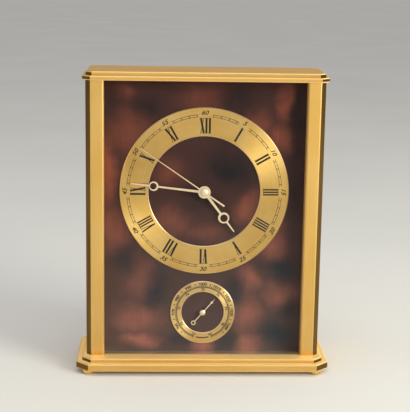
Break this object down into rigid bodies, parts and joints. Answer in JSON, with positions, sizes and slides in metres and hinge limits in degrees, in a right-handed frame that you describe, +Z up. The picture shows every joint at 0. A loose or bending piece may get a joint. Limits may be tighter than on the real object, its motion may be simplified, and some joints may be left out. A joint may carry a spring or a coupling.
{
  "type": "barometer clock",
  "caption": "Brass mantel clock with a stepped base and lid, a glazed front, a chapter ring with hour, minute and seconds hands, and a small aneroid barometer below.",
  "frame": {"origin": "under the middle of the base, on the surface the clock stands on", "axes": "+Z up; the dial looks along -Y; +X is to the right of someone who faces the dial"},
  "size_m": [0.1596, 0.064, 0.19],
  "materials": {
    "case_brass": "fine brushed and lacquered",
    "polished_brass": "polished",
    "dial_brass": "circular satin",
    "hand_brass": "bright, thin",
    "tortoiseshell_lacquer": "clouded dark red-brown under clear gloss",
    "clear_glass": "polished clear",
    "plated_steel": "nickel plated",
    "zinc_plated_can": "drawn and zinc plated",
    "black_abs": "moulded, fine grained",
    "white_acetal": "moulded",
    "circuit_laminate": "solder masked",
    "copper_winding": "enamelled wire",
    "cell_jacket": "printed film",
    "dial_enamel": "black enamel of the numerals and scales printed on the rings"
  },
  "bodies": {
    "case": {"base_plate": "case_brass", "lid_plate": "case_brass", "feet": "polished_brass", "tie_rods": "plated_steel", "post_front_left": "case_brass", "post_front_right": "case_brass", "post_rear_left": "case_brass", "post_rear_right": "case_brass", "side_panel_left": "case_brass", "side_panel_right": "case_brass", "front_glass": "clear_glass", "dial_panel": "tortoiseshell_lacquer", "chapter_ring": "dial_brass", "barometer_ring": "dial_brass", "back_panel": "case_brass", "back_screws": "plated_steel", "movement_case": "black_abs", "movement_cover": "black_abs", "movement_screws": "plated_steel", "middle_plate": "white_acetal", "battery": "cell_jacket", "battery_contacts": "plated_steel", "circuit_board": "circuit_laminate", "coil": "copper_winding", "coil_core": "plated_steel", "stator": "plated_steel", "barometer_can": "zinc_plated_can", "barometer_lid": "zinc_plated_can", "barometer_screws": "plated_steel", "barometer_bridge": "polished_brass", "aneroid_capsule": "polished_brass", "capsule_bar": "plated_steel", "hairspring": "plated_steel"},
    "minute": {"minute_cannon": "polished_brass", "minute_hand": "hand_brass"},
    "hour": {"hour_wheel": "polished_brass", "hour_hand": "hand_brass"},
    "motion": {"motion_wheel": "white_acetal"},
    "setting": {"setting_knob": "white_acetal"},
    "seconds": {"seconds_wheel": "polished_brass", "seconds_hand": "hand_brass"},
    "third": {"third_wheel": "white_acetal"},
    "centre": {"centre_wheel": "white_acetal"},
    "step": {"step_wheel": "white_acetal"},
    "rotor": {"rotor": "plated_steel"},
    "barometer": {"barometer_arbor": "plated_steel", "barometer_hand": "hand_brass"},
    "sector": {"sector": "polished_brass"},
    "rocker": {"rocking_shaft": "plated_steel"},
    "adjuster": {"adjusting_screw": "polished_brass"}
  },
  "joints": [
    {"name": "minute_turn", "type": "hinge", "parent": "case", "child": "minute", "pos_m": [0, 0, 0.1149], "axis": [0, 1, 0], "continuous": true},
    {"name": "hour_turn", "type": "hinge", "parent": "case", "child": "hour", "pos_m": [0, 0, 0.1149], "axis": [0, 1, 0], "continuous": true},
    {"name": "motion_turn", "type": "hinge", "parent": "case", "child": "motion", "pos_m": [-0.00846, 0, 0.11798], "axis": [0, 1, 0], "continuous": true},
    {"name": "setting_turn", "type": "hinge", "parent": "case", "child": "setting", "pos_m": [-0.01746, 0, 0.11798], "axis": [0, 1, 0], "continuous": true},
    {"name": "seconds_turn", "type": "hinge", "parent": "case", "child": "seconds", "pos_m": [0, 0, 0.1149], "axis": [0, 1, 0], "continuous": true},
    {"name": "third_turn", "type": "hinge", "parent": "case", "child": "third", "pos_m": [0.00883, 0, 0.11811], "axis": [0, 1, 0], "continuous": true},
    {"name": "centre_turn", "type": "hinge", "parent": "case", "child": "centre", "pos_m": [0, 0, 0.1149], "axis": [0, 1, 0], "continuous": true},
    {"name": "step_turn", "type": "hinge", "parent": "case", "child": "step", "pos_m": [-0.00163, 0, 0.12416], "axis": [0, 1, 0], "continuous": true},
    {"name": "rotor_turn", "type": "hinge", "parent": "case", "child": "rotor", "pos_m": [-0.00403, 0, 0.12831], "axis": [0, 1, 0], "continuous": true},
    {"name": "barometer_swing", "type": "hinge", "parent": "case", "child": "barometer", "pos_m": [0, 0, 0.0364], "axis": [0, 1, 0], "range_deg": [-200.8, 119.2]},
    {"name": "sector_swing", "type": "hinge", "parent": "case", "child": "sector", "pos_m": [0.01386, 0, 0.0344], "axis": [0, 1, 0], "range_deg": [-14.4, 24.2]},
    {"name": "rocker_swing", "type": "hinge", "parent": "case", "child": "rocker", "pos_m": [0, 0.0071, 0.0344], "axis": [1, 0, 0], "range_deg": [-9.6, 16.2]},
    {"name": "adjuster_turn", "type": "hinge", "parent": "case", "child": "adjuster", "pos_m": [0, 0, 0.0364], "axis": [0, 1, 0], "range_deg": [-180, 180]}
  ],
  "couplings": [
    {"joint": "hour_turn", "follows": "minute_turn", "ratio": 0.083333},
    {"joint": "motion_turn", "follows": "minute_turn", "ratio": -0.33333},
    {"joint": "setting_turn", "follows": "minute_turn", "ratio": 1},
    {"joint": "third_turn", "follows": "seconds_turn", "ratio": -0.13333},
    {"joint": "centre_turn", "follows": "seconds_turn", "ratio": 0.016667},
    {"joint": "step_turn", "follows": "seconds_turn", "ratio": -6},
    {"joint": "rotor_turn", "follows": "seconds_turn", "ratio": 30},
    {"joint": "sector_swing", "follows": "barometer_swing", "ratio": -0.12},
    {"joint": "rocker_swing", "follows": "barometer_swing", "ratio": -0.08}
  ]
}
